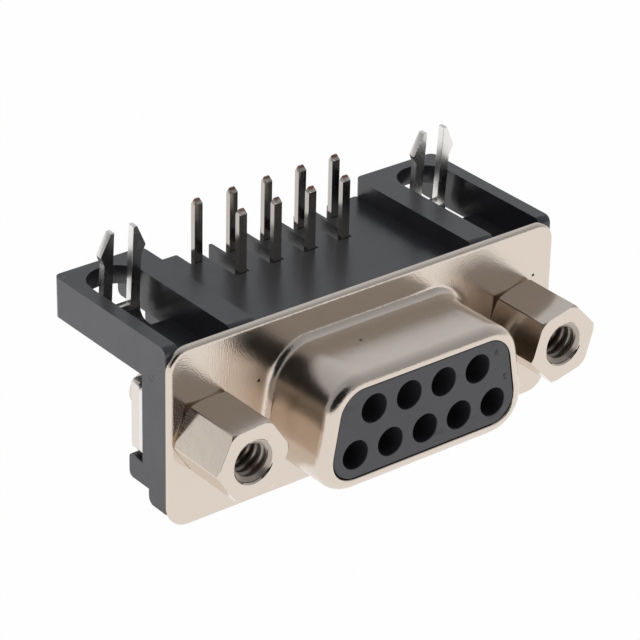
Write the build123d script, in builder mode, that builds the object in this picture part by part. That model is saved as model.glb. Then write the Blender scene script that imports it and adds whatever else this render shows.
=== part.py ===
from build123d import *
from math import cos, radians, sin, tan
import os

# Nine-way right-angle socket connector for a circuit board, in millimetres.
# X runs along the contact rows, -Y is the mating direction and +Z points at the circuit board.
# The origin is the centre of the flange's front face, on the mating axis.

# Contact grid
row_count_wide = 5
contact_pitch = 2.77
row_spacing = 2.84
tail_row_front = 7.9
tail_row_spacing = 2.84

# Drawn steel shell
flange_height = 12.5
flange_end = 2.905
flange_corner = 1.45
flange_sheet = 0.4
shell_wall = 0.45
shell_depth = 5.8
shell_height = 7.9
shell_side_margin = 2.41
shell_side_angle = 10.0
shell_corner = 2.6
shell_root_round = 0.6
mouth_round = 0.75
mouth_turn_in = 0.4

# Socket contacts
socket_radius = 0.53
barrel_wall = 0.3
socket_depth = 4.2
socket_setback = 2.0
tail_width = 0.62
tail_sheet = 0.4
tail_bend = 0.7
tail_tip_height = 9.5
tail_tip_inset = 0.14
tail_tip_length = 0.35

# Insulators
fit_gap = 0.05
nose_recess = 0.05
cavity_clearance = 0.15
collar_overhang = 0.5
collar_thickness = 1.0
rear_insulator_end = 5.0
rear_insulator_gap = 0.1

# Bracket
plate_thickness = 2.45
middle_step = 0.5
middle_rise = 0.06
seat_rise = 0.08
arm_thickness = 2.78
arm_inner_side = 3.845
arm_end_wall = 0.85
arm_front_round = 0.5
arm_rear_round = 0.4
arm_corner_round = 0.5
slot_side_gap = 0.5
slot_rear_room = 2.48
slot_front_room = 2.35
slot_floor = 0.7
hood_thickness = 1.3
comb_step = 1.28
comb_thickness = 1.6
comb_setback = 0.2
comb_slot_width = 1.1
end_rib_thickness = 0.8
end_rib_foot = -2.0
end_rib_tail = 0.8
ledge_top = -2.4
ledge_height = 1.8
ledge_reach = 1.42
ledge_lip = 0.3
ledge_round = 0.4
foot_bottom = -5.2
foot_thickness = 1.8
foot_round = 0.5

# Fasteners
screw_margin = 4.545
hex_sides = 6
hex_across_flats = 4.76
hex_length = 4.65
hex_turn_left = 4.0
hex_turn_right = 13.0
hex_chamfer_angle = 30.0
thread_core_radius = 1.13
thread_end_wall = 0.35
thread_chamfer = 0.37
stud_radius = 1.25
stud_overhang = 2.7
stud_chamfer = 0.3
screw_clearance = 0.15

# Ground straps, board locks and nut plates
strap_sheet = 0.52
strap_side_gap = 0.1
strap_arm_gap = 0.15
strap_leg_top = 2.6
strap_leg_round = 0.6
strap_neck_side = 0.05
strap_bend = 0.12
fork_bend = 0.8
nut_plate_thickness = 0.83
nut_plate_head_gap = 0.06
nut_plate_foot_gap = 0.15
nut_plate_round = 0.35
fork_lead = 0.27
fork_lean = 4.0
fork_body_width = 2.8
fork_gap = 1.42
fork_neck_rise = 1.6
fork_barb_rise = 0.7
fork_barb_width = 3.4
fork_tip_rise = 1.5
fork_tip_width = 2.0
fork_crotch_rise = 1.0

# Sizes that follow
front_plane = Plane.XZ
row_height = row_spacing / 2
row_half_width = (row_count_wide - 1) / 2 * contact_pitch
shell_mid_width = 2 * (row_half_width + shell_side_margin)
screw_x = shell_mid_width / 2 + screw_margin
half_width = screw_x + flange_end
mouth_rim = shell_wall + mouth_turn_in
barrel_radius = socket_radius + barrel_wall
cavity_radius = barrel_radius + cavity_clearance
contact_front = -shell_depth + socket_setback
collar_back = flange_sheet + collar_thickness
plate_back = flange_sheet + plate_thickness
tail_row_back = tail_row_front + tail_row_spacing
fork_front = (tail_row_front + tail_row_back) / 2 - fork_lead
seat_height = flange_height / 2 + seat_rise
arm_underside = seat_height - arm_thickness
arm_inner = screw_x - arm_inner_side
slot_width = fork_body_width + 2 * (strap_neck_side + slot_side_gap)
slot_end = fork_front + slot_rear_room
slot_floor_end = fork_front - slot_front_room
arm_reach = slot_end + arm_end_wall
comb_reach = arm_reach - comb_setback
comb_top = seat_height - comb_step
comb_underside = comb_top - comb_thickness
middle_top = comb_top + middle_rise
middle_back = plate_back + middle_step
rear_insulator_inset = shell_height / 2 - comb_underside + rear_insulator_gap
strap_top = arm_underside - strap_arm_gap
strap_back = plate_back + strap_sheet
nut_plate_back = strap_back + nut_plate_thickness
nut_plate_top = strap_top - strap_sheet - strap_bend - nut_plate_head_gap
nut_plate_bottom = ledge_top + nut_plate_foot_gap
lean_sine = sin(radians(fork_lean))
lean_cosine = cos(radians(fork_lean))
fork_crotch = fork_crotch_rise - arm_thickness
fork_barb = fork_neck_rise + fork_barb_rise
fork_tip = fork_barb + fork_tip_rise
stud_end = nut_plate_back + stud_overhang


def at_depth(depth):
    """Plane that faces the mating side, at a distance behind the flange's front face."""
    return front_plane.offset(-depth)


def d_outline(depth, inset):
    """D-shaped outline, wide side away from the board, moved in from the shell's outer face."""
    half_height = shell_height / 2 - inset
    mid_width = shell_mid_width - 2 * inset / cos(radians(shell_side_angle))
    wide_side = mid_width + 2 * half_height * tan(radians(shell_side_angle))
    with BuildSketch(at_depth(depth)) as outline:
        Trapezoid(wide_side, 2 * half_height, 90 - shell_side_angle)
        fillet(outline.vertices(), shell_corner - inset)
    return outline.sketch


def contact_places():
    """X and Z of each contact and the Y of its tail; the wide row ends in the rear tail row."""
    places = []
    for i in range(row_count_wide):
        places.append((i * contact_pitch - row_half_width, -row_height, tail_row_back))
    for i in range(row_count_wide - 1):
        places.append(((i + 0.5) * contact_pitch - row_half_width, row_height, tail_row_front))
    return places


def save(part, node):
    """Label a finished piece and write its STEP file."""
    part.label = node
    export_step(part, f"parts/{node}.step")


def make_front_shell():
    """Flange and D-shaped nose, drawn from one sheet, with its rim turned in at the mouth."""
    with BuildPart() as front_shell:
        with BuildSketch(at_depth(flange_sheet)):
            RectangleRounded(2 * half_width, flange_height, flange_corner)
        extrude(amount=flange_sheet)
        extrude(d_outline(0, 0), amount=shell_depth)
        mouth_face, flange_face = front_shell.faces().filter_by(Axis.Y).sort_by(Axis.Y)[:2]
        fillet(flange_face.inner_wires().edges(), shell_root_round)
        fillet(mouth_face.edges(), mouth_round)
        cavity_length = flange_sheet + shell_depth - shell_wall
        extrude(d_outline(flange_sheet, shell_wall), amount=cavity_length, mode=Mode.SUBTRACT)
        extrude(d_outline(flange_sheet, mouth_rim), amount=flange_sheet + shell_depth, mode=Mode.SUBTRACT)
        extrude(screw_holes(flange_sheet), amount=flange_sheet, mode=Mode.SUBTRACT)
    return front_shell.part


def make_front_insulator():
    """Moulded block with the nine cavities, held by a collar behind the flange."""
    body_front = shell_depth - shell_wall - fit_gap
    with BuildPart() as front_insulator:
        extrude(d_outline(collar_back, -collar_overhang), amount=collar_thickness)
        extrude(d_outline(flange_sheet, shell_wall + fit_gap), amount=flange_sheet + body_front)
        extrude(d_outline(0, mouth_rim + fit_gap), amount=shell_depth - nose_recess)
        spots = [(x, z) for x, z, row in contact_places()]
        with BuildSketch(at_depth(nose_recess - shell_depth)):
            with Locations(*spots):
                Circle(cavity_radius)
        extrude(amount=-(shell_depth + collar_back), mode=Mode.SUBTRACT)
    return front_insulator.part


def make_rear_insulator():
    """Moulded block that backs the barrels, with a flat slot for each tail."""
    with BuildPart() as rear_insulator:
        extrude(d_outline(plate_back, -collar_overhang), amount=plate_back - collar_back)
        extrude(d_outline(rear_insulator_end, rear_insulator_inset), amount=rear_insulator_end - plate_back)
        spots = [(x, z) for x, z, row in contact_places()]
        with BuildSketch(at_depth(rear_insulator_end)):
            with Locations(*spots):
                Rectangle(tail_width + 2 * fit_gap, tail_sheet + 2 * fit_gap)
        extrude(amount=rear_insulator_end - collar_back, mode=Mode.SUBTRACT)
    return rear_insulator.part


def make_contact(x, z, row):
    """Socket barrel and flat tail, bent up to the board in its own row."""
    with BuildPart() as contact:
        with BuildSketch(at_depth(contact_front)):
            with Locations((x, z)):
                Circle(barrel_radius)
        extrude(amount=-(collar_back - contact_front))
        with BuildSketch(at_depth(contact_front)):
            with Locations((x, z)):
                Circle(socket_radius)
        extrude(amount=-socket_depth, mode=Mode.SUBTRACT)
        with BuildLine(Plane.YZ.offset(x)) as route:
            FilletPolyline((collar_back, z), (row, z), (row, tail_tip_height), radius=tail_bend)
        with BuildSketch(at_depth(collar_back)):
            with Locations((x, z)):
                Rectangle(tail_width, tail_sheet)
        sweep()
        tip = contact.faces().sort_by(Axis.Z)[-1]
        chamfer(tip.edges(), tail_tip_inset, tail_tip_length, reference=tip)
    return contact.part


def side_outline(x):
    """Side view of one end of the bracket: arm, plate, strap ledge and foot."""
    ledge_bottom = ledge_top - ledge_height
    ledge_back = plate_back + ledge_reach
    foot_back = flange_sheet + foot_thickness
    with BuildSketch(Plane.YZ.offset(x)) as outline:
        with BuildLine():
            Polyline(
                (flange_sheet, foot_bottom),
                (flange_sheet, seat_height),
                (arm_reach, seat_height),
                (arm_reach, arm_underside),
                (plate_back, arm_underside),
                (plate_back, ledge_top - ledge_lip),
                (ledge_back, ledge_top),
                (ledge_back, ledge_bottom),
                (foot_back, ledge_bottom),
                (foot_back, foot_bottom),
                close=True,
            )
        make_face()
        rounds = (
            ((flange_sheet, seat_height), arm_front_round),
            ((arm_reach, arm_underside), arm_rear_round),
            ((foot_back, foot_bottom), foot_round),
            ((ledge_back, ledge_top), ledge_round),
            ((ledge_back, ledge_bottom), ledge_round),
        )
        for corner, radius in rounds:
            fillet(outline.vertices().sort_by_distance(corner)[0], radius)
    return outline.sketch


def arm_plan():
    """Both ends of the bracket seen from the board, with the arms' rear corners rounded."""
    middle_x = (half_width + arm_inner) / 2
    middle_y = (flange_sheet + arm_reach) / 2
    with BuildSketch(Plane.XY.offset(seat_height)) as plan:
        with Locations((-middle_x, middle_y), (middle_x, middle_y)):
            Rectangle(half_width - arm_inner, arm_reach - flange_sheet)
        fillet(plan.vertices().group_by(Axis.Y)[-1], arm_corner_round)
    return plan.sketch


def comb_slots():
    """Slots of the comb seen from the board, one for each tail and open to the rear."""
    with BuildSketch(Plane.XY.offset(comb_top)) as slots:
        for x, z, row in contact_places():
            start = row - tail_sheet / 2 - fit_gap
            with Locations((x, start)):
                Rectangle(comb_slot_width, comb_reach - start, align=(Align.CENTER, Align.MIN))
    return slots.sketch


def end_rib(x):
    """Side view of the rib that closes one end of the comb and stiffens it."""
    with BuildSketch(Plane.YZ.offset(x)) as rib:
        with BuildLine():
            Polyline(
                (plate_back, end_rib_foot),
                (plate_back, comb_top),
                (comb_reach, comb_top),
                (comb_reach, end_rib_tail),
                close=True,
            )
        make_face()
    return rib.sketch


def arm_slots(height, start):
    """Both arm slots with their round rear ends, from a starting depth to the slot's end."""
    radius = slot_width / 2
    with BuildSketch(Plane.XY.offset(height)) as slots:
        with Locations((-screw_x, slot_end - radius), (screw_x, slot_end - radius)):
            Circle(radius)
            Rectangle(slot_width, slot_end - radius - start, align=(Align.CENTER, Align.MAX))
    return slots.sketch


def screw_holes(depth):
    """Clearance holes for both studs."""
    with BuildSketch(at_depth(depth)) as holes:
        with Locations((-screw_x, 0), (screw_x, 0)):
            Circle(stud_radius + screw_clearance)
    return holes.sketch


def make_bracket():
    """L-shaped moulding: plate behind the flange, slotted arms and the comb for the tails."""
    with BuildPart() as bracket:
        for x in (-half_width, arm_inner):
            extrude(side_outline(x), amount=half_width - arm_inner)
        extrude(arm_plan(), amount=foot_bottom - seat_height, mode=Mode.INTERSECT)
        with BuildSketch(at_depth(middle_back)):
            with Locations((0, foot_bottom)):
                Rectangle(2 * arm_inner, middle_top - foot_bottom, align=(Align.CENTER, Align.MIN))
        extrude(amount=middle_back - flange_sheet)
        with BuildSketch(Plane.XY.offset(comb_top)):
            with Locations((0, plate_back)):
                Rectangle(2 * arm_inner, comb_reach - plate_back, align=(Align.CENTER, Align.MIN))
        extrude(amount=-comb_thickness)
        extrude(comb_slots(), amount=-comb_thickness, mode=Mode.SUBTRACT)
        for x in (-arm_inner, arm_inner - end_rib_thickness):
            extrude(end_rib(x), amount=end_rib_thickness)
        extrude(arm_slots(seat_height, flange_sheet), amount=slot_floor - arm_thickness, mode=Mode.SUBTRACT)
        extrude(arm_slots(seat_height, slot_floor_end), amount=-arm_thickness, mode=Mode.SUBTRACT)
        with BuildSketch(Plane.XY.offset(arm_underside)):
            with Locations((-screw_x, slot_floor_end), (screw_x, slot_floor_end)):
                Rectangle(slot_width, arm_reach - slot_floor_end, align=(Align.CENTER, Align.MIN))
        extrude(amount=arm_thickness - hood_thickness, mode=Mode.SUBTRACT)
        window = d_outline(middle_back, -collar_overhang - fit_gap)
        extrude(window, amount=middle_back - flange_sheet, mode=Mode.SUBTRACT)
        extrude(screw_holes(plate_back), amount=plate_thickness, mode=Mode.SUBTRACT)
    return bracket.part


def make_jackscrew(x, turn):
    """Hexagonal post with chamfered ends, a threaded bore in front and a stud behind."""
    flat_radius = hex_across_flats / 2
    crest_radius = flat_radius / cos(radians(180 / hex_sides))
    bevel = (crest_radius - flat_radius) * tan(radians(hex_chamfer_angle))
    with BuildPart() as jackscrew:
        with BuildSketch(at_depth(0)):
            with Locations((x, 0)):
                Circle(crest_radius)
        extrude(amount=hex_length)
        for end in (jackscrew.faces().sort_by(Axis.Y)[0], jackscrew.faces().sort_by(Axis.Y)[-1]):
            chamfer(end.edges(), crest_radius - flat_radius, bevel, reference=end)
        with BuildSketch(at_depth(0)):
            with Locations((x, 0)):
                RegularPolygon(flat_radius, hex_sides, major_radius=False, rotation=turn)
        extrude(amount=hex_length, mode=Mode.INTERSECT)
        with BuildSketch(at_depth(stud_end)):
            with Locations((x, 0)):
                Circle(stud_radius)
        extrude(amount=stud_end)
        chamfer(jackscrew.faces().sort_by(Axis.Y)[-1].edges(), stud_chamfer)
        with BuildSketch(at_depth(-hex_length)):
            with Locations((x, 0)):
                Circle(thread_core_radius)
        extrude(amount=thread_end_wall - hex_length, mode=Mode.SUBTRACT)
        mouth = jackscrew.faces().sort_by(Axis.Y)[0].inner_wires().edges()
        chamfer(mouth, thread_chamfer)
    return jackscrew.part


def fork_depth(distance, height):
    """Y of a point behind the leaning fork's front face, at a height along the fork from the seat."""
    return fork_front + distance / lean_cosine - height * lean_sine


def make_ground_strap(x):
    """Leg behind the bracket's plate, strip under the arm and the forked board lock."""
    leg_width = 2 * (flange_end - strap_side_gap)
    neck_width = fork_body_width + 2 * strap_neck_side
    leg_bottom = ledge_top - strap_side_gap
    middle = strap_sheet / 2
    root = (strap_top - middle - seat_height) / lean_cosine
    fork_back_plane = Plane(
        origin=(x, fork_depth(strap_sheet, 0), seat_height),
        x_dir=(1, 0, 0),
        z_dir=(0, -lean_cosine, -lean_sine),
    )
    with BuildPart() as ground_strap:
        with BuildSketch(Plane.YZ.offset(x)):
            with BuildLine():
                FilletPolyline(
                    (plate_back + middle, leg_bottom),
                    (plate_back + middle, strap_top - middle),
                    (fork_depth(middle, root), strap_top - middle),
                    (fork_depth(middle, fork_crotch), seat_height + fork_crotch * lean_cosine),
                    radius=[strap_bend + middle, fork_bend + middle],
                )
            trace(line_width=strap_sheet)
        extrude(amount=neck_width / 2, both=True)
        with BuildSketch(at_depth(strap_back)):
            with Locations((x, (leg_bottom + strap_leg_top) / 2)):
                RectangleRounded(leg_width, strap_leg_top - leg_bottom, strap_leg_round)
        extrude(amount=strap_sheet)
        with BuildSketch(fork_back_plane):
            for side in (-1, 1):
                Polygon(
                    (side * fork_gap / 2, fork_crotch),
                    (side * fork_body_width / 2, fork_crotch),
                    (side * fork_body_width / 2, fork_neck_rise),
                    (side * fork_barb_width / 2, fork_barb),
                    (side * fork_tip_width / 2, fork_tip),
                    (side * fork_gap / 2, fork_tip),
                    align=None,
                )
        extrude(amount=strap_sheet)
        extrude(screw_holes(strap_back), amount=strap_sheet, mode=Mode.SUBTRACT)
    return ground_strap.part


def make_nut_plate(x):
    """Small plate behind the strap's leg, screwed on the stud."""
    width = 2 * (flange_end - strap_side_gap)
    with BuildPart() as nut_plate:
        with BuildSketch(at_depth(nut_plate_back)):
            with Locations((x, (nut_plate_top + nut_plate_bottom) / 2)):
                RectangleRounded(width, nut_plate_top - nut_plate_bottom, nut_plate_round)
            with Locations((x, 0)):
                Circle(stud_radius + fit_gap, mode=Mode.SUBTRACT)
        extrude(amount=nut_plate_thickness)
    return nut_plate.part


os.makedirs("parts", exist_ok=True)
save(make_front_shell(), "front_shell")
save(make_front_insulator(), "front_insulator")
save(make_rear_insulator(), "rear_insulator")
for number, (x, z, row) in enumerate(contact_places(), start=1):
    save(make_contact(x, z, row), f"contact_{number}")
save(make_bracket(), "bracket")
for side, x, turn in (("left", -screw_x, hex_turn_left), ("right", screw_x, hex_turn_right)):
    save(make_jackscrew(x, turn), f"jackscrew_{side}")
    save(make_ground_strap(x), f"ground_strap_{side}")
    save(make_nut_plate(x), f"nut_plate_{side}")
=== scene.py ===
import math

import bmesh
import bpy
from mathutils import Matrix, Quaternion, Vector


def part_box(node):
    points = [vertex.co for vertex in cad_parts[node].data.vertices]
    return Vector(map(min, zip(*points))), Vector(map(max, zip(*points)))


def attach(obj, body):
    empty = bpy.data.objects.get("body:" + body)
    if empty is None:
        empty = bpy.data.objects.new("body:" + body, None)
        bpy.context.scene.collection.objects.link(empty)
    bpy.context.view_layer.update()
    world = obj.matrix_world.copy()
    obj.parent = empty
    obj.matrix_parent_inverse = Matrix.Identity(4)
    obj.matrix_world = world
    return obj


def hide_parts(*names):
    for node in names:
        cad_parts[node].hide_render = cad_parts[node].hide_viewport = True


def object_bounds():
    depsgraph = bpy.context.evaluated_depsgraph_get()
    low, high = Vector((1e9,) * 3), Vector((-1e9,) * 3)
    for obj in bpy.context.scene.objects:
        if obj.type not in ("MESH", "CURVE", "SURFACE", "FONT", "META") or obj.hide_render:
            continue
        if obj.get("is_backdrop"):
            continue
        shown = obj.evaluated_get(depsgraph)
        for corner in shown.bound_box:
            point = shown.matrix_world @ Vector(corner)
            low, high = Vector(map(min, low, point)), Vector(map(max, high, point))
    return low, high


bl_info = {
    "name": "Right-angle board connector",
    "version": (1, 0, 0),
    "blender": (4, 5, 0),
    "location": "View3D > Sidebar > Connector",
    "description": "Builds the visible pieces of a right-angle socket connector on its CAD frame",
    "category": "Object",
}

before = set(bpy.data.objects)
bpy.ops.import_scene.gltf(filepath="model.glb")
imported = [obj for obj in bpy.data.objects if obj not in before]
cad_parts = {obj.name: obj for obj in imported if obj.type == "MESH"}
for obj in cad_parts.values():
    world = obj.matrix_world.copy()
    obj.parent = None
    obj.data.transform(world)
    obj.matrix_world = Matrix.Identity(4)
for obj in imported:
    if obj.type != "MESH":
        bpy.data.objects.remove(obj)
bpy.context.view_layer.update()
MM = 0.001
ENDS = ("left", "right")
CONTACTS = [f"contact_{number}" for number in range(1, 10)]

# Steps of the round forms
CORNER_STEPS = 14
FLANGE_STEPS = 10
ROOT_STEPS = 8
MOUTH_STEPS = 10
EDGE_STEPS = 5
HOLE_STEPS = 40
LATHE_STEPS = 72
THREAD_STEPS = 40

# Limits in millimetres for points that count as one, and in radians for edges
WELD_MM = 1e-5
TOUCH_MM = 1e-4
CAD_WELD_MM = 0.002
FLAT_ANGLE = math.radians(0.4)
SHARP_ANGLE = math.radians(30)

# Most of a noise texture's values lie between these two
NOISE_LOW, NOISE_HIGH = 0.3, 0.7

# Places in millimetres of what is seen only from near
PITS = ((13.78, 0.0, 2.67), (-2.36, -2.09, 3.95), (-8.65, 0.0, 2.22))
EJECTOR_MARKS = ((-15.4, 1.79, 3.82), (-15.06, 12.0, 6.33))
PIN_NUMBERS = (("9", 5.69, 2.13), ("5", 6.49, 0.14))
PIT_RADIUS_MM = 0.13
MARK_RADIUS_MM = 0.26
# Height of the skin over an ejector mark, from its edge to its centre
MARK_HEIGHTS = ((0.0, 1.0), (0.2, 0.0), (0.5, 0.9), (1.0, 0.7))

# Studio: directions in the part's frame, and levels where 1 is white
WHITE = (1.0, 1.0, 1.0, 1.0)
WINDOW_SIDE = (0.707, 0.707, 0.0)
DARK_SIDE = (-0.5655, -0.7505, 0.342)
ROOM_LEVELS = (0.37, 0.70)
SHADE_LEVEL = 0.05
# Cosine to the dark side from which the shade begins and is full
SHADE_EDGE = (0.72, 0.86)
# Heights between which the sweep gives way to the room, and its climb behind the part
SWEEP_EDGE = (-0.32, -0.10)
SWEEP_CLIMB = 0.45
FLOOR_LEVEL = 0.985
LOW_TINT = (1.0, 0.995, 0.985, 1.0)
HIGH_TINT = (0.97, 1.0, 1.04, 1.0)
LENS = 171.5134
CAMERA_PLACE = (-0.1077247, -0.1292282, 0.0942357)
CAMERA_TURN = (0.81320145, 0.4816136, -0.17579666, -0.27540383)


class ShellSizes(bpy.types.PropertyGroup):
    """Sizes of the drawn shell, in metres as Blender keeps them."""

    mid_width: bpy.props.FloatProperty(
        name="Nose width", description="Width of the nose at mid height", default=0.0159, unit="LENGTH"
    )
    height: bpy.props.FloatProperty(
        name="Nose height", description="Height of the nose", default=0.0079, unit="LENGTH"
    )
    depth: bpy.props.FloatProperty(
        name="Nose depth", description="From the flange's face to the mouth", default=0.0058, unit="LENGTH"
    )
    side_angle: bpy.props.FloatProperty(
        name="Side angle",
        description="Slope of the nose's short sides",
        default=math.radians(10),
        subtype="ANGLE",
    )
    corner: bpy.props.FloatProperty(
        name="Nose corner", description="Corner radius seen from the front", default=0.0026, unit="LENGTH"
    )
    root_round: bpy.props.FloatProperty(
        name="Root round", description="Radius where the nose leaves the flange", default=0.0006, unit="LENGTH"
    )
    mouth_round: bpy.props.FloatProperty(
        name="Mouth round", description="Radius of the rolled mouth", default=0.00075, unit="LENGTH"
    )
    wall: bpy.props.FloatProperty(
        name="Wall", description="Thickness of the drawn wall", default=0.00045, unit="LENGTH"
    )
    rim: bpy.props.FloatProperty(
        name="Rim", description="How far the turned-in rim reaches", default=0.00085, unit="LENGTH"
    )
    flange_sheet: bpy.props.FloatProperty(
        name="Flange sheet", description="Thickness of the flange", default=0.0004, unit="LENGTH"
    )
    flange_corner: bpy.props.FloatProperty(
        name="Flange corner", description="Corner radius of the flange", default=0.00145, unit="LENGTH"
    )
    flange_edge: bpy.props.FloatProperty(
        name="Flange edge", description="Roll-over of the stamped front edge", default=0.00026, unit="LENGTH"
    )
    hole_radius: bpy.props.FloatProperty(
        name="Screw hole", description="Radius of both screw holes", default=0.0014, unit="LENGTH"
    )


class PostSizes(bpy.types.PropertyGroup):
    """Sizes of the hexagonal threaded posts."""

    spacing: bpy.props.FloatProperty(
        name="Spacing", description="Distance between both posts", default=0.02499, unit="LENGTH"
    )
    across_flats: bpy.props.FloatProperty(
        name="Across flats", description="Width of the hexagon over its flats", default=0.00476, unit="LENGTH"
    )
    length: bpy.props.FloatProperty(
        name="Length", description="Length of the hexagon", default=0.00465, unit="LENGTH"
    )
    turn_left: bpy.props.FloatProperty(
        name="Left turn",
        description="How far the left post is turned",
        default=math.radians(4),
        subtype="ANGLE",
    )
    turn_right: bpy.props.FloatProperty(
        name="Right turn",
        description="How far the right post is turned",
        default=math.radians(13),
        subtype="ANGLE",
    )
    edge_round: bpy.props.FloatProperty(
        name="Edge round", description="Round of the hexagon's long edges", default=0.00012, unit="LENGTH"
    )
    front_radius: bpy.props.FloatProperty(
        name="Front radius", description="Rounds off the hexagon's front corners", default=0.00256, unit="LENGTH"
    )
    front_round: bpy.props.FloatProperty(
        name="Front round", description="Edge round of the hexagon's front face", default=0.0001, unit="LENGTH"
    )
    rear_radius: bpy.props.FloatProperty(
        name="Rear radius", description="What the hexagon's rear chamfer leaves", default=0.00226, unit="LENGTH"
    )
    bore_radius: bpy.props.FloatProperty(
        name="Thread root", description="Outer radius of the inner thread", default=0.00143, unit="LENGTH"
    )
    core_radius: bpy.props.FloatProperty(
        name="Thread core", description="Inner radius of the inner thread", default=0.00114, unit="LENGTH"
    )
    thread_pitch: bpy.props.FloatProperty(
        name="Thread pitch", description="Rise of one thread turn", default=0.000635, unit="LENGTH"
    )
    bore_depth: bpy.props.FloatProperty(
        name="Bore depth", description="Depth of the threaded bore", default=0.0043, unit="LENGTH"
    )
    stud_radius: bpy.props.FloatProperty(
        name="Stud radius", description="Radius of the stud behind", default=0.00125, unit="LENGTH"
    )
    stud_end: bpy.props.FloatProperty(
        name="Stud end", description="Reach of the stud behind the flange's face", default=0.0069, unit="LENGTH"
    )


class EdgeSizes(bpy.types.PropertyGroup):
    """Small edge rounds that the process leaves."""

    moulding: bpy.props.FloatProperty(
        name="Moulding", description="Edge round of the moulded pieces", default=0.00010, unit="LENGTH"
    )
    insulator: bpy.props.FloatProperty(
        name="Insulator", description="Edge round of the cavities", default=0.00006, unit="LENGTH"
    )
    sheet: bpy.props.FloatProperty(
        name="Sheet", description="Edge round of the stamped strips", default=0.00010, unit="LENGTH"
    )
    tail: bpy.props.FloatProperty(
        name="Tail", description="Edge round of the solder tails", default=0.00013, unit="LENGTH"
    )
    tip: bpy.props.FloatProperty(
        name="Tip", description="Edge round at the tips of the tails", default=0.00005, unit="LENGTH"
    )


class FinishColours(bpy.types.PropertyGroup):
    """Colours of the finishes, as sRGB hex values."""

    nickel: bpy.props.StringProperty(
        name="Nickel", description="Nickel plate, warm white", default="#DDD1C5"
    )
    pit: bpy.props.StringProperty(
        name="Pit", description="Tiny pits in the nickel plate", default="#2E2622"
    )
    # Colour painted as shade inside the tapped bores, darkest on the drilled crests
    bore_shade: bpy.props.StringProperty(
        name="Film", description="Film of oil and dust in the tapped bores", default="#6B625B"
    )
    tin: bpy.props.StringProperty(
        name="Tin", description="Tin plate, neutral white", default="#ECEAE6"
    )
    plate: bpy.props.StringProperty(
        name="Nut plate", description="Tin plate of the nut plates, a little warmer", default="#E6DFD8"
    )
    contact: bpy.props.StringProperty(
        name="Contact", description="Tin plate of the tails", default="#BDB7B0"
    )
    copper: bpy.props.StringProperty(
        name="Cut end", description="Bare copper alloy at the cut ends", default="#86614E"
    )
    moulding: bpy.props.StringProperty(
        name="Moulding", description="Black polyester of the bracket", default="#323237"
    )
    insulator: bpy.props.StringProperty(
        name="Insulator", description="Black polyester of the insulator", default="#38373C"
    )
    board: bpy.props.StringProperty(
        name="Board", description="White board under the part", default="#F2F2F0"
    )


def colour(hex_value):
    """Linear colour of an sRGB hex value."""
    parts = [int(hex_value[i : i + 2], 16) / 255 for i in (1, 3, 5)]
    linear = [c / 12.92 if c <= 0.04045 else ((c + 0.055) / 1.055) ** 2.4 for c in parts]
    return (*linear, 1.0)


def add_node(tree, kind, inputs=None, **settings):
    """Adds a node with its settings; an input is a plain value or another node's output."""
    made = tree.nodes.new(kind)
    for name, value in settings.items():
        setattr(made, name, value)
    for name, value in (inputs or {}).items():
        if isinstance(value, bpy.types.NodeSocket):
            tree.links.new(value, made.inputs[name])
        else:
            made.inputs[name].default_value = value
    return made


def new_material(name):
    """Empty node material with its output node."""
    material = bpy.data.materials.new(name)
    material.use_nodes = True
    material.node_tree.nodes.clear()
    output = material.node_tree.nodes.new("ShaderNodeOutputMaterial")
    return material, material.node_tree, output


def grain(tree, size_mm, detail=2.0, stretch=(1.0, 1.0, 1.0)):
    """Noise whose spots have a real size in millimetres."""
    place = add_node(tree, "ShaderNodeTexCoord").outputs["Object"]
    mapped = add_node(tree, "ShaderNodeMapping", {"Vector": place, "Scale": stretch})
    scale = 1 / (size_mm * MM)
    return add_node(
        tree, "ShaderNodeTexNoise", {"Vector": mapped.outputs["Vector"], "Scale": scale, "Detail": detail}
    )


def ramp(tree, fac, stops):
    """Colour ramp from a list of positions and colours."""
    made = add_node(tree, "ShaderNodeValToRGB", {"Fac": fac})
    elements = made.color_ramp.elements
    while len(elements) < len(stops):
        elements.new(0.5)
    for element, (position, value) in zip(elements, stops):
        element.position = position
        element.color = value
    return made


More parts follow.
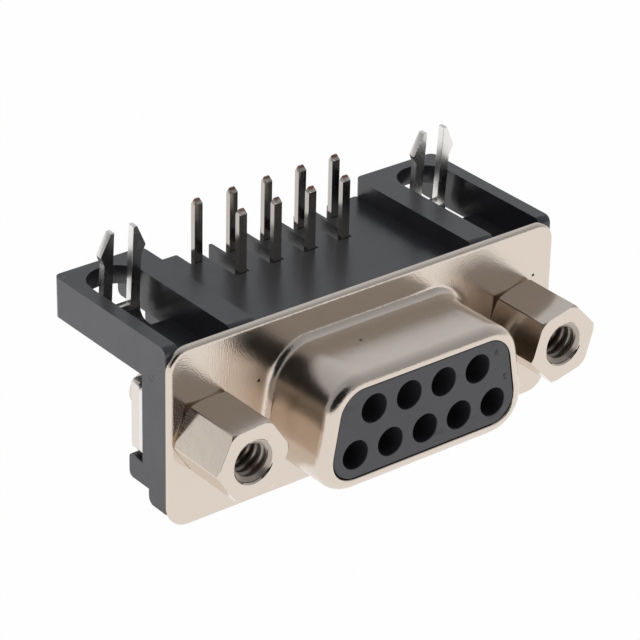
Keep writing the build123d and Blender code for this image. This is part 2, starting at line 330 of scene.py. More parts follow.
def painted_bore_shade(tree, colours, posts):
    """Nickel with painted shade in the tapped bores, darkest on the drilled crests, and how much shade is
    painted there.
    """
    crest_end, root_start = posts.core_radius + 0.02 * MM, posts.core_radius + 0.08 * MM
    bore_wall, bore_end = posts.bore_radius + 0.01 * MM, -0.1 * MM
    crest_share, root_share = 0.6, 0.45
    place = add_node(tree, "ShaderNodeTexCoord").outputs["Object"]
    axes = add_node(tree, "ShaderNodeSeparateXYZ", {"Vector": place})
    beside = add_node(tree, "ShaderNodeMath", {0: axes.outputs["X"]}, operation="ABSOLUTE")
    aside = add_node(
        tree, "ShaderNodeMath", {0: beside.outputs["Value"], 1: posts.spacing / 2}, operation="SUBTRACT"
    )
    flat = add_node(tree, "ShaderNodeCombineXYZ", {"X": aside.outputs["Value"], "Z": axes.outputs["Z"]})
    length = add_node(tree, "ShaderNodeVectorMath", {0: flat.outputs["Vector"]}, operation="LENGTH")
    radius = length.outputs["Value"]
    # Painted shade, stronger on the crests than in the thread's roots
    shade_by_radius = add_node(
        tree,
        "ShaderNodeMapRange",
        {
            "Value": radius,
            "From Min": crest_end,
            "From Max": root_start,
            "To Min": crest_share,
            "To Max": root_share,
        },
    )
    inside = add_node(tree, "ShaderNodeMath", {0: radius, 1: bore_wall}, operation="LESS_THAN")
    ahead = add_node(tree, "ShaderNodeMath", {0: axes.outputs["Y"], 1: bore_end}, operation="LESS_THAN")
    bore = add_node(
        tree, "ShaderNodeMath", {0: inside.outputs["Value"], 1: ahead.outputs["Value"]}, operation="MULTIPLY"
    )
    mask = add_node(
        tree, "ShaderNodeMath", {0: bore.outputs["Value"], 1: shade_by_radius.outputs["Result"]}, operation="MULTIPLY"
    )
    blend = add_node(
        tree,
        "ShaderNodeMix",
        {"Factor": mask.outputs["Value"], "A": colour(colours.nickel), "B": colour(colours.bore_shade)},
        data_type="RGBA",
    )
    return blend.outputs[2], mask.outputs["Value"]


def nearness(tree, points, radius_mm):
    """Value that is 1 at any of the points, given in millimetres, and 0 from a radius on."""
    place = add_node(tree, "ShaderNodeTexCoord").outputs["Object"]
    reach = radius_mm * MM
    near = None
    for point in points:
        away = add_node(
            tree, "ShaderNodeVectorMath", {0: place, 1: [c * MM for c in point]}, operation="DISTANCE"
        )
        one = add_node(
            tree,
            "ShaderNodeMapRange",
            {"Value": away.outputs["Value"], "From Min": 0.0, "From Max": reach, "To Min": 1.0, "To Max": 0.0},
        ).outputs["Result"]
        if near:
            one = add_node(tree, "ShaderNodeMath", {0: near, 1: one}, operation="MAXIMUM").outputs["Value"]
        near = one
    return near


def noise_range(tree, noise, low, high):
    """Spreads a noise texture's values over a range."""
    fac = noise.outputs["Fac"]
    settings = {"Value": fac, "From Min": NOISE_LOW, "From Max": NOISE_HIGH, "To Min": low, "To Max": high}
    return add_node(tree, "ShaderNodeMapRange", settings).outputs["Result"]


def plated_metal(name, hex_value, roughness, patch_mm, reliefs, specks=(), speck_hex=None):
    """Plated metal: even colour, roughness in soft patches and the fine relief of the base metal."""
    material, tree, output = new_material(name)
    rough = noise_range(tree, grain(tree, patch_mm, detail=3.0), *roughness)
    shader = add_node(
        tree,
        "ShaderNodeBsdfPrincipled",
        {"Base Color": colour(hex_value), "Metallic": 1.0, "Roughness": rough},
    )
    if specks:
        near, full_dark = nearness(tree, specks, PIT_RADIUS_MM), 0.4
        dark = add_node(tree, "ShaderNodeMapRange", {"Value": near, "From Max": full_dark})
        spotted = add_node(
            tree,
            "ShaderNodeMix",
            {"Factor": dark.outputs["Result"], "A": colour(hex_value), "B": colour(speck_hex)},
            data_type="RGBA",
        )
        tree.links.new(spotted.outputs[2], shader.inputs["Base Color"])
    relief = None
    for size_mm, height_mm in reliefs:
        skin = grain(tree, size_mm, detail=1.5)
        inputs = {"Height": skin.outputs["Fac"], "Strength": 1.0, "Distance": height_mm * MM}
        if relief:
            inputs["Normal"] = relief.outputs["Normal"]
        relief = add_node(tree, "ShaderNodeBump", inputs)
    tree.links.new(relief.outputs["Normal"], shader.inputs["Normal"])
    tree.links.new(shader.outputs["BSDF"], output.inputs["Surface"])
    return material


def moulded_polyester(name, hex_value, roughness, ior, grain_mm, bump, marks=()):
    """Glass-filled polyester as moulded: dark grey in the light, a fine skin over slow flow waves."""
    material, tree, output = new_material(name)
    base = colour(hex_value)[:3]
    tone = ramp(
        tree,
        grain(tree, size_mm=2.5, detail=3.0).outputs["Fac"],
        [(NOISE_LOW, (*[c * 0.9 for c in base], 1.0)), (NOISE_HIGH, (*[c * 1.1 for c in base], 1.0))],
    )
    wave_height, mark_depth = 0.012 * MM, 0.05 * MM
    waves = grain(tree, size_mm=0.9, stretch=(0.35, 1.0, 1.0))
    skin = grain(tree, grain_mm, detail=4.0)
    flow = add_node(
        tree, "ShaderNodeBump", {"Height": waves.outputs["Fac"], "Strength": 1.0, "Distance": wave_height}
    )
    height = add_node(
        tree,
        "ShaderNodeBump",
        {
            "Height": skin.outputs["Fac"],
            "Strength": bump,
            "Distance": grain_mm * MM * 0.5,
            "Normal": flow.outputs["Normal"],
        },
    )
    if marks:
        ring = ramp(
            tree,
            nearness(tree, marks, MARK_RADIUS_MM),
            [(place, (level, level, level, 1.0)) for place, level in MARK_HEIGHTS],
        )
        height = add_node(
            tree,
            "ShaderNodeBump",
            {
                "Height": ring.outputs["Color"],
                "Strength": 1.0,
                "Distance": mark_depth,
                "Normal": height.outputs["Normal"],
            },
        )
    shader = add_node(
        tree,
        "ShaderNodeBsdfPrincipled",
        {
            "Base Color": tone.outputs["Color"],
            "Roughness": roughness,
            "IOR": ior,
            "Normal": height.outputs["Normal"],
        },
    )
    tree.links.new(shader.outputs["BSDF"], output.inputs["Surface"])
    return material


def finish_mesh(bm, name, materials, sharp_angle=35.0):
    """Turns a bmesh in millimetres into a piece in metres, smooth between its sharp edges."""
    bmesh.ops.scale(bm, vec=(MM, MM, MM), verts=bm.verts)
    bmesh.ops.recalc_face_normals(bm, faces=bm.faces)
    mesh = bpy.data.meshes.new(name)
    bm.to_mesh(mesh)
    bm.free()
    mesh.shade_smooth()
    mesh.set_sharp_from_angle(angle=math.radians(sharp_angle))
    for material in materials:
        mesh.materials.append(material)
    piece = bpy.data.objects.new(name, mesh)
    bpy.context.scene.collection.objects.link(piece)
    weighted = piece.modifiers.new("Flat faces stay flat", "WEIGHTED_NORMAL")
    weighted.keep_sharp = True
    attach(piece, "root")
    return piece


def node_bmesh(node):
    """Merged copy of a CAD node in millimetres, with its flat faces whole again."""
    bm = bmesh.new()
    bm.from_mesh(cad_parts[node].data)
    bmesh.ops.scale(bm, vec=(1 / MM, 1 / MM, 1 / MM), verts=bm.verts)
    bmesh.ops.remove_doubles(bm, verts=bm.verts, dist=CAD_WELD_MM)
    bmesh.ops.dissolve_limit(bm, angle_limit=FLAT_ANGLE, verts=bm.verts, edges=bm.edges)
    return bm


def round_edges(bm, edges, width, segments):
    """Bevels edges of a bmesh round."""
    bmesh.ops.bevel(
        bm,
        geom=edges,
        offset=width,
        offset_type="OFFSET",
        segments=segments,
        profile=0.5,
        affect="EDGES",
        clamp_overlap=True,
        material=-1,
    )


def round_corners(bm, corners, offset, segments):
    """Bevels corners of a flat face round; the offset is what each round takes off its two sides."""
    bmesh.ops.bevel(
        bm,
        geom=corners,
        offset=offset,
        offset_type="ABSOLUTE",
        segments=segments,
        profile=0.5,
        affect="VERTICES",
        clamp_overlap=False,
        material=-1,
    )


def soften(bm, width, segments, shortest=0.0):
    """Rounds the sharp edges of a bmesh that are long enough."""
    sharp = [
        edge for edge in bm.edges if edge.calc_face_angle(0.0) > SHARP_ANGLE and edge.calc_length() > shortest
    ]
    round_edges(bm, sharp, width, segments)


def softened_copy(node, name, width, segments, materials):
    """Piece that stands for a CAD node and has its edges rounded."""
    bm = node_bmesh(node)
    soften(bm, width, segments)
    piece = finish_mesh(bm, name, materials)
    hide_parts(node)
    return piece


def d_face(bm, sizes, inset):
    """D-shaped face in millimetres in the flange's plane, moved in from the nose's outer face."""
    lean = math.tan(sizes.side_angle)
    half_height = sizes.height / 2 / MM - inset
    middle = sizes.mid_width / 2 / MM - inset / math.cos(sizes.side_angle)
    radius = sizes.corner / MM - inset
    corners = [
        (-middle - half_height * lean, -half_height),
        (middle + half_height * lean, -half_height),
        (middle - half_height * lean, half_height),
        (-middle + half_height * lean, half_height),
    ]
    verts = [bm.verts.new((x, 0.0, z)) for x, z in corners]
    bm.faces.new(verts)
    tilt = math.degrees(sizes.side_angle) / 2
    for pair, half_angle in ((verts[:2], 45 - tilt), (verts[2:], 45 + tilt)):
        round_corners(bm, pair, radius / math.tan(math.radians(half_angle)), CORNER_STEPS)


def step_in(bm, face, thickness, depth):
    """Insets a face and moves it out by a depth, leaving a ring of faces around it."""
    bmesh.ops.inset_individual(bm, faces=[face], thickness=thickness, depth=depth, use_even_offset=True)


def quarter(steps):
    """Steps of a quarter turn, each as the pair of its start and end angle."""
    angles = [math.pi / 2 * k / steps for k in range(steps + 1)]
    return list(zip(angles, angles[1:]))


def facing_front(bm):
    """First face of a bmesh, turned to look at the mating side."""
    bm.faces.ensure_lookup_table()
    face = bm.faces[0]
    face.normal_update()
    if face.normal.y > 0:
        bmesh.ops.reverse_faces(bm, faces=[face])
    return face


def nose_bmesh(sizes):
    """D-shaped nose from its root on the flange to the hollow behind the turned-in rim."""
    root, mouth, depth = sizes.root_round / MM, sizes.mouth_round / MM, sizes.depth / MM
    wall, rim, sheet = sizes.wall / MM, sizes.rim / MM, sizes.flange_sheet / MM
    skirt, lip = 0.25, 0.04
    bm = bmesh.new()
    # Flat skirt in the flange's face, then the round root, the wall, the rolled mouth and the hollow
    d_face(bm, sizes, -(root + skirt))
    face = facing_front(bm)
    step_in(bm, face, skirt, 0.0)
    for a, b in quarter(ROOT_STEPS):
        step_in(bm, face, root * (math.sin(b) - math.sin(a)), root * (math.cos(a) - math.cos(b)))
    # Short rows at both ends keep the shading of the rounds off the straight wall
    for share in (0.04, 0.46, 0.46, 0.04):
        step_in(bm, face, 0.0, (depth - root - mouth) * share)
    for a, b in quarter(MOUTH_STEPS):
        step_in(bm, face, mouth * (math.cos(a) - math.cos(b)), mouth * (math.sin(b) - math.sin(a)))
    step_in(bm, face, rim - mouth - lip, 0.0)
    step_in(bm, face, lip, -lip)
    step_in(bm, face, 0.0, -(wall - lip))
    step_in(bm, face, wall - rim, 0.0)
    step_in(bm, face, 0.0, -(depth - wall + sheet))
    bmesh.ops.delete(bm, geom=[face], context="FACES_ONLY")
    return bm


def flange_bmesh(sizes, half_width, half_height):
    """Rim of the flange with its rolled-over front edge; both of its faces are still open."""
    sheet, edge, margin = sizes.flange_sheet / MM, sizes.flange_edge / MM, 0.08
    bm = bmesh.new()
    bmesh.ops.create_grid(
        bm, x_segments=1, y_segments=1, size=1.0, matrix=Matrix.Rotation(math.pi / 2, 4, "X")
    )
    bmesh.ops.scale(bm, vec=(half_width, 1, half_height), verts=bm.verts)
    bmesh.ops.translate(bm, vec=(0, sheet, 0), verts=bm.verts)
    round_corners(bm, bm.verts[:], sizes.flange_corner / MM, FLANGE_STEPS)
    face = facing_front(bm)
    step_in(bm, face, 0.0, sheet - edge)
    for a, b in quarter(EDGE_STEPS):
        step_in(bm, face, edge * (math.cos(a) - math.cos(b)), edge * (math.sin(b) - math.sin(a)))
    step_in(bm, face, margin, 0.0)
    bmesh.ops.delete(bm, geom=[face], context="FACES_ONLY")
    return bm


def take_in(bm, other):
    """Moves all of another bmesh into this one."""
    carried = bpy.data.meshes.new("carried")
    other.to_mesh(carried)
    other.free()
    bm.from_mesh(carried)
    bpy.data.meshes.remove(carried)


class CONNECTOR_OT_shell(bpy.types.Operator):
    """Build the drawn steel shell with its flange, root round and rolled mouth"""

    bl_idname = "connector.shell"
    bl_label = "Drawn shell"

    def execute(self, context):
        scene = context.scene
        sizes, posts, colours = scene.connector_shell, scene.connector_posts, scene.connector_colours
        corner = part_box("front_shell")[1] / MM
        sheet = sizes.flange_sheet / MM
        bm = flange_bmesh(sizes, corner.x, corner.z)
        take_in(bm, nose_bmesh(sizes))
        for side in (-1, 1):
            middle = Matrix.Translation((side * posts.spacing / 2 / MM, 0, 0))
            hole = bmesh.ops.create_circle(
                bm,
                cap_ends=False,
                segments=HOLE_STEPS,
                radius=sizes.hole_radius / MM,
                matrix=middle @ Matrix.Rotation(math.pi / 2, 4, "X"),
            )
            ring = {e for v in hole["verts"] for e in v.link_edges}
            wall = bmesh.ops.extrude_edge_only(bm, edges=list(ring))
            moved = [g for g in wall["geom"] if isinstance(g, bmesh.types.BMVert)]
            bmesh.ops.translate(bm, verts=moved, vec=(0, sheet, 0))
        # Both faces of the flange, filled between its rim, the nose and the holes
        for depth in (0.0, sheet):
            loose = [
                e
                for e in bm.edges
                if len(e.link_faces) < 2 and all(abs(v.co.y - depth) < TOUCH_MM for v in e.verts)
            ]
            bmesh.ops.triangle_fill(bm, edges=loose, use_beauty=True)
        # Nickel plate on drawn steel: warm mirror, softened by the sheet's grain, with three tiny pits
        nickel = plated_metal(
            "Nickel plate on drawn steel",
            colours.nickel,
            roughness=(0.14, 0.21),
            patch_mm=3.0,
            reliefs=((0.7, 0.004), (0.1, 0.011)),
            specks=PITS,
            speck_hex=colours.pit,
        )
        piece = finish_mesh(bm, "drawn_shell", [nickel], sharp_angle=50.0)
        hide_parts("front_shell")
        return {"FINISHED"}


class CONNECTOR_OT_posts(bpy.types.Operator):
    """Build both hexagonal posts with their chamfers and threaded bores"""

    bl_idname = "connector.posts"
    bl_label = "Threaded posts"

    def execute(self, context):
        scene = context.scene
        posts, colours = scene.connector_posts, scene.connector_colours
        # Nickel plate on turned steel: smoother than the drawn sheet, so it mirrors more clearly
        nickel = plated_metal(
            "Nickel plate on turned steel",
            colours.nickel,
            roughness=(0.10, 0.17),
            patch_mm=2.0,
            reliefs=((0.8, 0.004), (0.11, 0.002)),
        )
        tree = nickel.node_tree
        shader = next(node for node in tree.nodes if node.type == "BSDF_PRINCIPLED")
        # Painted shade in the tapped bores, darkest on the crests
        plate, bore = painted_bore_shade(tree, colours, posts)
        tree.links.new(plate, shader.inputs["Base Color"])
        # The tap tears the bores rough, and where shade is painted in them the nickel is less metallic, so the
        # painted colour shows in the thread's roots
        torn_rough, bore_shade_share = 0.55, 0.6
        outside = shader.inputs["Roughness"].links[0].from_socket
        torn = add_node(tree, "ShaderNodeMath", {0: bore, 1: torn_rough}, operation="MULTIPLY")
        rough = add_node(tree, "ShaderNodeMath", {0: torn.outputs["Value"], 1: outside}, operation="MAXIMUM")
        tree.links.new(rough.outputs["Value"], shader.inputs["Roughness"])
        bore_shade = add_node(tree, "ShaderNodeMath", {0: bore, 1: -bore_shade_share, 2: 1.0}, operation="MULTIPLY_ADD")
        tree.links.new(bore_shade.outputs["Value"], shader.inputs["Metallic"])
        for end, side, turn in (("left", -1, posts.turn_left), ("right", 1, posts.turn_right)):
            piece = self.post(posts, end, side * posts.spacing / 2 / MM, turn, nickel)
            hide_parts(f"jackscrew_{end}")
        return {"FINISHED"}

    def post(self, posts, end, x, turn, material):
        """Turned blank that the flats and the rounds between them then cut, with its thread."""
        flat = posts.across_flats / 2 / MM
        edge = posts.edge_round / MM
        front, rear = posts.front_radius / MM, posts.rear_radius / MM
        length, depth = posts.length / MM, posts.bore_depth / MM
        bore, stud, stud_end = posts.bore_radius / MM, posts.stud_radius / MM, posts.stud_end / MM
        blank = flat / math.cos(math.pi / 6) + 0.02
        slope = math.tan(math.radians(30))
        countersink, stud_chamfer = 0.1, 0.3

        bm = bmesh.new()
        profile = [
            (0.0, -length + depth),
            (bore, -length + depth),
            (bore, -length + countersink),
            (bore + countersink, -length),
            (front, -length),
            (blank, -length + (blank - front) * slope),
            (blank, -(blank - rear) * slope),
            (rear, 0.0),
            (stud, 0.0),
            (stud, stud_end - stud_chamfer),
            (stud - stud_chamfer, stud_end),
            (0.0, stud_end),
        ]
        verts = [bm.verts.new((r, y, 0)) for r, y in profile]
        for one, two in zip(verts, verts[1:]):
            bm.edges.new((one, two))
        bmesh.ops.spin(
            bm,
            geom=bm.verts[:] + bm.edges[:],
            cent=(0, 0, 0),
            axis=(0, 1, 0),
            angle=2 * math.pi,
            steps=LATHE_STEPS,
            use_merge=True,
        )
        bmesh.ops.remove_doubles(bm, verts=bm.verts, dist=WELD_MM)

        # Each flat, and the narrow facets that round the edge before it
        reach = (flat - edge) / math.cos(math.pi / 6)
        cuts = []
        for k in range(6):
            corner = turn + k * math.pi / 3
            cuts.append((corner + math.pi / 6, flat))
            for lean in (-20, -10, 0, 10, 20):
                cuts.append((corner + math.radians(lean), reach * math.cos(math.radians(lean)) + edge))
        # Only what lies in front of the flange's face is cut, and the stud behind it stays round
        stud_start = 0.001
        for angle, offset in cuts:
            normal = Vector((math.cos(angle), 0, math.sin(angle)))
            hexagon = [f for f in bm.faces if f.calc_center_median().y < stud_start]
            cut = bmesh.ops.bisect_plane(
                bm,
                geom=list({g for f in hexagon for g in (f, *f.verts, *f.edges)}),
                dist=WELD_MM,
                plane_co=normal * offset,
                plane_no=normal,
                clear_outer=True,
                clear_inner=False,
            )
            rim = [g for g in cut["geom_cut"] if isinstance(g, bmesh.types.BMEdge)]
            bmesh.ops.contextual_create(bm, geom=rim)

        # The front face's outline, and not its countersink
        outside = flat - 0.1
        outline = [
            e
            for e in bm.edges
            if all(v.co.y < -length + TOUCH_MM and math.hypot(v.co.x, v.co.z) > outside for v in e.verts)
        ]
        round_edges(bm, outline, posts.front_round / MM, 4)
        take_in(bm, self.thread(posts))
        bmesh.ops.translate(bm, verts=bm.verts, vec=(x, 0, 0))
        return finish_mesh(bm, f"threaded_post_{end}", [material], sharp_angle=24.0)

    def thread(self, posts):
        """One ridge with a drilled flat crest carried round the bore, cut back to a cone at the mouth."""
        length, depth = posts.length / MM, posts.bore_depth / MM
        bore, core, pitch = posts.bore_radius / MM, posts.core_radius / MM, posts.thread_pitch / MM
        # The crest runs between two shares of a flank, and the foot is sunk into the bore's wall
        flank = pitch * 0.46
        crest_start, crest_end = 0.72, 1.28
        foot, runout = bore + 0.05, 0.15
        # The lead cone starts a little wider than the bore, just behind the front face
        mouth, taper, setback = bore + 0.11, 1.6, 0.03
        start = -length - pitch
        turns = int((depth - runout) / pitch) + 1
        bm = bmesh.new()
        section = [
            (foot, start),
            (core, start + flank * crest_start),
            (core, start + flank * crest_end),
            (foot, start + 2 * flank),
        ]
        cap = bm.faces.new([bm.verts.new((r, y, 0)) for r, y in section])
        bmesh.ops.spin(
            bm,
            geom=[cap],
            cent=(0, 0, 0),
            axis=(0, 1, 0),
            dvec=(0, pitch / THREAD_STEPS, 0),
            angle=2 * math.pi * turns,
            steps=THREAD_STEPS * turns,
            use_merge=False,
            use_duplicate=False,
        )
        for vert in bm.verts:
            radius = math.hypot(vert.co.x, vert.co.z)
            cone = mouth - taper * max(vert.co.y + length, 0.0)
            share = max(cone / radius, 1.0)
            bmesh.ops.scale(bm, vec=(share, 1, share), verts=[vert])
            vert.co.y = max(vert.co.y, -length + setback)
        bmesh.ops.recalc_face_normals(bm, faces=bm.faces)
        return bm


class CONNECTOR_OT_mouldings(bpy.types.Operator):
    """Round the edges of the bracket and the front insulator, give them and the rear insulator their matt skin,
    and raise the pin numbers
    """

    bl_idname = "connector.mouldings"
    bl_label = "Mouldings"

    def execute(self, context):
        scene = context.scene
        edges, colours = scene.connector_edges, scene.connector_colours
        # Glass-filled polyester, moulded: the skin is matt and goes grey where it faces the light
        outside = moulded_polyester(
            "Black polyester, matt moulded",
            colours.moulding,
            roughness=0.24,
            ior=1.62,
            grain_mm=0.09,
            bump=0.16,
            marks=EJECTOR_MARKS,
        )
        # The same plastic from a finer mould, a little softer in its gloss
        inside = moulded_polyester(
            "Black polyester, fine moulded",
            colours.insulator,
            roughness=0.34,
            ior=1.62,
            grain_mm=0.07,
            bump=0.12,
        )
        bm = node_bmesh("bracket")
        # The comb's upright rear corners are rounder than the other edges
        comb_rear, comb_side, shortest, comb_round = 12.1, 8.7, 1.0, 0.13
        upright = [
            e
            for e in bm.edges
            if abs(e.verts[0].co.z - e.verts[1].co.z) > shortest
            and all(v.co.y > comb_rear and abs(v.co.x) < comb_side for v in e.verts)
            and e.is_convex
            and e.calc_face_angle(0.0) > math.radians(60)
        ]
        round_edges(bm, upright, comb_round, 3)
        soften(bm, edges.moulding / MM, 2)
        bracket = finish_mesh(bm, "slotted_bracket", [outside])
        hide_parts("bracket")
        face = softened_copy("front_insulator", "cavity_block", edges.insulator / MM, 2, [inside])
        for number, x, z in PIN_NUMBERS:
            self.pin_number(number, x, z, inside)
        # The rear insulator is hidden, so the solid itself stays
        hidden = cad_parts["rear_insulator"].data
        hidden.materials.clear()
        hidden.materials.append(inside)
        return {"FINISHED"}

    def pin_number(self, number, x, z, material):
        """Number barely raised on the insulator's face, upside down because the part lies on its top."""
        curve = bpy.data.curves.new("number", "FONT")
        curve.body = number
        curve.size = 0.6
        curve.extrude = 0.03
        curve.align_x = curve.align_y = "CENTER"
        writing = bpy.data.objects.new("number", curve)
        bpy.context.scene.collection.objects.link(writing)
        bpy.context.view_layer.update()
        flat = bpy.data.meshes.new_from_object(writing.evaluated_get(bpy.context.evaluated_depsgraph_get()))
        bpy.data.objects.remove(writing)
        bpy.data.curves.remove(curve)
        bm = bmesh.new()
        bm.from_mesh(flat)
        bpy.data.meshes.remove(flat)
        bmesh.ops.remove_doubles(bm, verts=bm.verts, dist=TOUCH_MM)
        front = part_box("front_insulator")[0].y / MM
        turn = Matrix.Rotation(math.pi, 4, "Y") @ Matrix.Rotation(math.pi / 2, 4, "X")
        bmesh.ops.transform(bm, matrix=Matrix.Translation((x, front, z)) @ turn, verts=bm.verts)
        piece = finish_mesh(bm, f"pin_number_{number}", [material])


class CONNECTOR_OT_contacts(bpy.types.Operator):
    """Round the edges of the nine contacts and show the bare metal at their cut ends"""

    bl_idname = "connector.contacts"
    bl_label = "Contacts"

    def execute(self, context):
        scene = context.scene
        edges, colours = scene.connector_edges, scene.connector_colours
        # Tin plate over copper alloy: grey mirror, with the bare alloy at the sheared tips
        material, tree, output = new_material("Tin plate on copper alloy")
        place = add_node(tree, "ShaderNodeTexCoord").outputs["Object"]
        height = add_node(tree, "ShaderNodeSeparateXYZ", {"Vector": place})
        # The bare metal's border lies just under the tip, and noise makes it ragged
        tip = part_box("contact_1")[1].z
        border_low, border_high, ragged = tip - 0.00012, tip + 0.00002, 0.00018
        wobble = grain(tree, size_mm=0.25, detail=3.0)
        shifted = add_node(
            tree,
            "ShaderNodeMath",
            {0: wobble.outputs["Fac"], 1: ragged, 2: height.outputs["Z"]},
            operation="MULTIPLY_ADD",
        )
        mask = add_node(
            tree,
            "ShaderNodeMapRange",
            {"Value": shifted.outputs["Value"], "From Min": border_low, "From Max": border_high},
        )
        blend = add_node(
            tree,
            "ShaderNodeMix",
            {"Factor": mask.outputs["Result"], "A": colour(colours.contact), "B": colour(colours.copper)},
            data_type="RGBA",
        )
        # Drawing streaks along the tails
        streaks = grain(tree, size_mm=0.2, detail=3.0, stretch=(1.0, 1.0, 0.12))
        streak_height = 0.00004
        bump = add_node(
            tree,
            "ShaderNodeBump",
            {"Height": streaks.outputs["Fac"], "Strength": 0.15, "Distance": streak_height},
        )
        shader = add_node(
            tree,
            "ShaderNodeBsdfPrincipled",
            {
                "Metallic": 1.0,
                "Roughness": noise_range(tree, streaks, 0.08, 0.2),
                "Normal": bump.outputs["Normal"],
            },
        )
        tree.links.new(blend.outputs[2], shader.inputs["Base Color"])
        tree.links.new(shader.outputs["BSDF"], output.inputs["Surface"])
        # First the long edges, coined round, and then the short ones at the tips
        for node in CONTACTS:
            bm = node_bmesh(node)
            soften(bm, edges.tail / MM, 3, shortest=0.7)
            soften(bm, edges.tip / MM, 2)
            piece = finish_mesh(bm, f"plated_{node}", [material])
            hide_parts(node)
        return {"FINISHED"}


class CONNECTOR_OT_straps(bpy.types.Operator):
    """Round the edges of the ground straps with their board locks, and of the nut plates"""

    bl_idname = "connector.straps"
    bl_label = "Ground straps"

    def execute(self, context):
        scene = context.scene
        edges, colours = scene.connector_edges, scene.connector_colours
        relief = {"patch_mm": 1.5, "reliefs": ((0.4, 0.005), (0.08, 0.003))}
        # Tin plate on stamped brass: bright and a little cloudy
        tin = plated_metal("Tin plate on stamped brass", colours.tin, roughness=(0.2, 0.32), **relief)
        # Tin plate on steel: satin, slightly warm beside the brass strip
        steel = plated_metal("Tin plate on stamped steel", colours.plate, roughness=(0.2, 0.3), **relief)
        for end in ENDS:
            strap = softened_copy(f"ground_strap_{end}", f"forked_strap_{end}", edges.sheet / MM, 3, [tin])
            plate = softened_copy(f"nut_plate_{end}", f"plain_plate_{end}", edges.sheet / MM, 2, [steel])
        return {"FINISHED"}


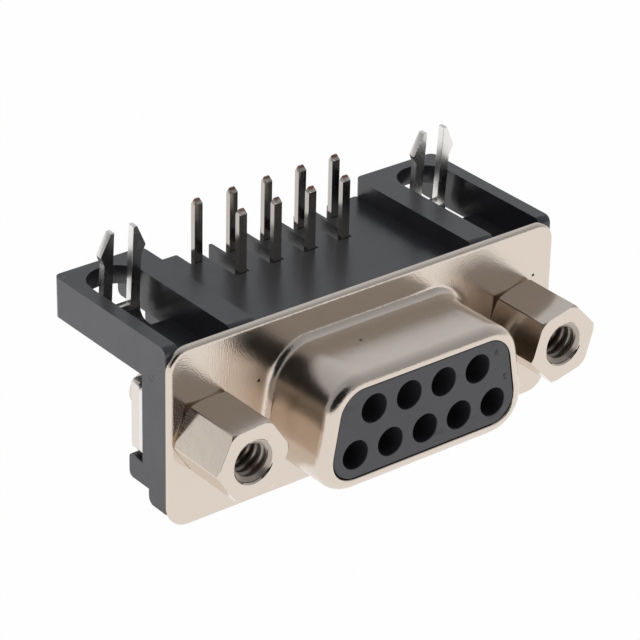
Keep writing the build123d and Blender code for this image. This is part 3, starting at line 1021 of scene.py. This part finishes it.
class CONNECTOR_OT_stage(bpy.types.Operator):
    """Set the floor, the studio light and the camera"""

    bl_idname = "connector.stage"
    bl_label = "Stage"

    def execute(self, context):
        scene = context.scene
        scene.view_settings.view_transform = "Standard"
        bm = bmesh.new()
        bmesh.ops.create_grid(bm, x_segments=1, y_segments=1, size=3.0)
        mesh = bpy.data.meshes.new("floor")
        bm.to_mesh(mesh)
        bm.free()
        floor = bpy.data.objects.new("floor", mesh)
        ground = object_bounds()[0][2]
        floor.location.z = ground
        scene.collection.objects.link(floor)
        floor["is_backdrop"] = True
        mesh.materials.append(self.floor_material(scene.connector_colours.board))
        self.world(scene)
        # Both lamps lie just over the floor and shine up
        table = ground + 0.0001
        self.lamp(scene, "light table", (0.0, 0.0, table), (0.6, 0.6), radiance=0.5)
        self.lamp(scene, "light table, left part", (-0.13, 0.0, table), (0.2, 0.3), radiance=2.8)

        camera = bpy.data.cameras.new("camera")
        camera.lens = LENS
        camera.sensor_width = 36.0
        camera.clip_start = 0.01
        camera.clip_end = 50.0
        holder = bpy.data.objects.new("camera", camera)
        holder.rotation_mode = "QUATERNION"
        holder.rotation_quaternion = Quaternion(CAMERA_TURN)
        holder.location = CAMERA_PLACE
        scene.collection.objects.link(holder)
        scene.camera = holder
        return {"FINISHED"}

    def lamp(self, scene, name, centre, size, radiance):
        """Glowing table top that lights the matt mouldings from below and stays out of the mirrors."""
        data = bpy.data.lights.new(name, "AREA")
        data.shape = "RECTANGLE"
        data.size, data.size_y = size
        data.energy = radiance * math.pi * size[0] * size[1]
        lamp = bpy.data.objects.new(name, data)
        lamp.location = centre
        lamp.rotation_euler = (math.pi, 0.0, 0.0)
        lamp.visible_camera = False
        lamp.visible_glossy = False
        scene.collection.objects.link(lamp)

    def floor_material(self, hex_value):
        """Matt white board, lifted to white where it is seen or mirrored."""
        material, tree, output = new_material("White board")
        paths = add_node(tree, "ShaderNodeLightPath")
        seen = paths.outputs["Is Camera Ray"]
        for path in ("Is Glossy Ray", "Is Transmission Ray"):
            both = {0: seen, 1: paths.outputs[path]}
            seen = add_node(tree, "ShaderNodeMath", both, operation="MAXIMUM").outputs["Value"]
        share = add_node(tree, "ShaderNodeMath", {0: seen, 1: FLOOR_LEVEL}, operation="MULTIPLY")
        board = add_node(tree, "ShaderNodeBsdfDiffuse", {"Color": colour(hex_value)})
        white = add_node(tree, "ShaderNodeEmission", {"Color": WHITE, "Strength": 1.0})
        mixed = add_node(
            tree,
            "ShaderNodeMixShader",
            {0: share.outputs["Value"], 1: board.outputs["BSDF"], 2: white.outputs["Emission"]},
        )
        tree.links.new(mixed.outputs["Shader"], output.inputs["Surface"])
        return material

    def world(self, scene):
        """Bright sweep below and behind, a half-bright room above it, and its dark side in front."""
        world = bpy.data.worlds.new("studio")
        scene.world = world
        world.use_nodes = True
        tree = world.node_tree
        tree.nodes.clear()
        output = tree.nodes.new("ShaderNodeOutputWorld")
        direction = add_node(tree, "ShaderNodeTexCoord").outputs["Generated"]
        axes = add_node(tree, "ShaderNodeSeparateXYZ", {"Vector": direction})

        # The room is brightest on its window side
        window = add_node(
            tree, "ShaderNodeVectorMath", {0: direction, 1: WINDOW_SIDE}, operation="DOT_PRODUCT"
        )
        darkest, brightest = ROOM_LEVELS
        room = add_node(
            tree,
            "ShaderNodeMapRange",
            {
                "Value": window.outputs["Value"],
                "From Min": -0.15,
                "From Max": 1.0,
                "To Min": darkest,
                "To Max": brightest,
            },
        )

        # The sweep is level in front and climbs behind the part
        sweep_end, room_start = SWEEP_EDGE
        behind = add_node(tree, "ShaderNodeMath", {0: axes.outputs["Y"], 1: 0.0}, operation="MAXIMUM")
        sweep = add_node(
            tree,
            "ShaderNodeMath",
            {0: behind.outputs["Value"], 1: -SWEEP_CLIMB, 2: axes.outputs["Z"]},
            operation="MULTIPLY_ADD",
        )
        above = add_node(
            tree,
            "ShaderNodeMapRange",
            {"Value": sweep.outputs["Value"], "From Min": sweep_end, "From Max": room_start},
            interpolation_type="SMOOTHSTEP",
        )
        level = add_node(
            tree, "ShaderNodeMix", {"Factor": above.outputs["Result"], "A": 1.0, "B": room.outputs["Result"]}
        )

        # The dark side of the studio
        shade_start, shade_full = SHADE_EDGE
        aside = add_node(
            tree, "ShaderNodeVectorMath", {0: direction, 1: DARK_SIDE}, operation="DOT_PRODUCT"
        )
        shade = add_node(
            tree,
            "ShaderNodeMapRange",
            {
                "Value": aside.outputs["Value"],
                "From Min": shade_start,
                "From Max": shade_full,
                "To Min": 1.0,
                "To Max": SHADE_LEVEL,
            },
            interpolation_type="SMOOTHSTEP",
        )
        strength = add_node(
            tree,
            "ShaderNodeMath",
            {0: level.outputs["Result"], 1: shade.outputs["Result"]},
            operation="MULTIPLY",
        )
        # The light is warmer near the table and cooler from above
        high = add_node(
            tree, "ShaderNodeMapRange", {"Value": axes.outputs["Z"], "From Min": 0.1, "From Max": 0.5}
        )
        tint = add_node(
            tree,
            "ShaderNodeMix",
            {"Factor": high.outputs["Result"], "A": LOW_TINT, "B": HIGH_TINT},
            data_type="RGBA",
        )

        # The camera itself sees plain white
        paths = add_node(tree, "ShaderNodeLightPath")
        light = add_node(
            tree, "ShaderNodeBackground", {"Color": tint.outputs[2], "Strength": strength.outputs["Value"]}
        )
        white = add_node(tree, "ShaderNodeBackground", {"Color": WHITE, "Strength": 1.0})
        mixed = add_node(
            tree,
            "ShaderNodeMixShader",
            {0: paths.outputs["Is Camera Ray"], 1: light.outputs["Background"], 2: white.outputs["Background"]},
        )
        tree.links.new(mixed.outputs["Shader"], output.inputs["Surface"])


class CONNECTOR_PT_pieces(bpy.types.Panel):
    """Lists the pieces and the stage"""

    bl_label = "Connector"
    bl_idname = "CONNECTOR_PT_pieces"
    bl_space_type = "VIEW_3D"
    bl_region_type = "UI"
    bl_category = "Connector"

    def draw(self, context):
        for operator in OPERATORS:
            self.layout.operator(operator.bl_idname)
        for group in SETTINGS:
            sizes = getattr(context.scene, group)
            for name in sizes.__annotations__:
                self.layout.prop(sizes, name)


OPERATORS = (
    CONNECTOR_OT_shell,
    CONNECTOR_OT_posts,
    CONNECTOR_OT_mouldings,
    CONNECTOR_OT_contacts,
    CONNECTOR_OT_straps,
    CONNECTOR_OT_stage,
)
SETTINGS = {
    "connector_shell": ShellSizes,
    "connector_posts": PostSizes,
    "connector_edges": EdgeSizes,
    "connector_colours": FinishColours,
}


def register():
    for group in SETTINGS.values():
        bpy.utils.register_class(group)
    for operator in OPERATORS:
        bpy.utils.register_class(operator)
    bpy.utils.register_class(CONNECTOR_PT_pieces)
    for name, group in SETTINGS.items():
        setattr(bpy.types.Scene, name, bpy.props.PointerProperty(type=group))


def unregister():
    for name in SETTINGS:
        delattr(bpy.types.Scene, name)
    bpy.utils.unregister_class(CONNECTOR_PT_pieces)
    for operator in reversed(OPERATORS):
        bpy.utils.unregister_class(operator)
    for group in reversed(SETTINGS.values()):
        bpy.utils.unregister_class(group)


def main():
    register()
    bpy.ops.connector.shell()
    bpy.ops.connector.posts()
    bpy.ops.connector.mouldings()
    bpy.ops.connector.contacts()
    bpy.ops.connector.straps()
    bpy.ops.connector.stage()


if __name__ == "__main__":
    main()
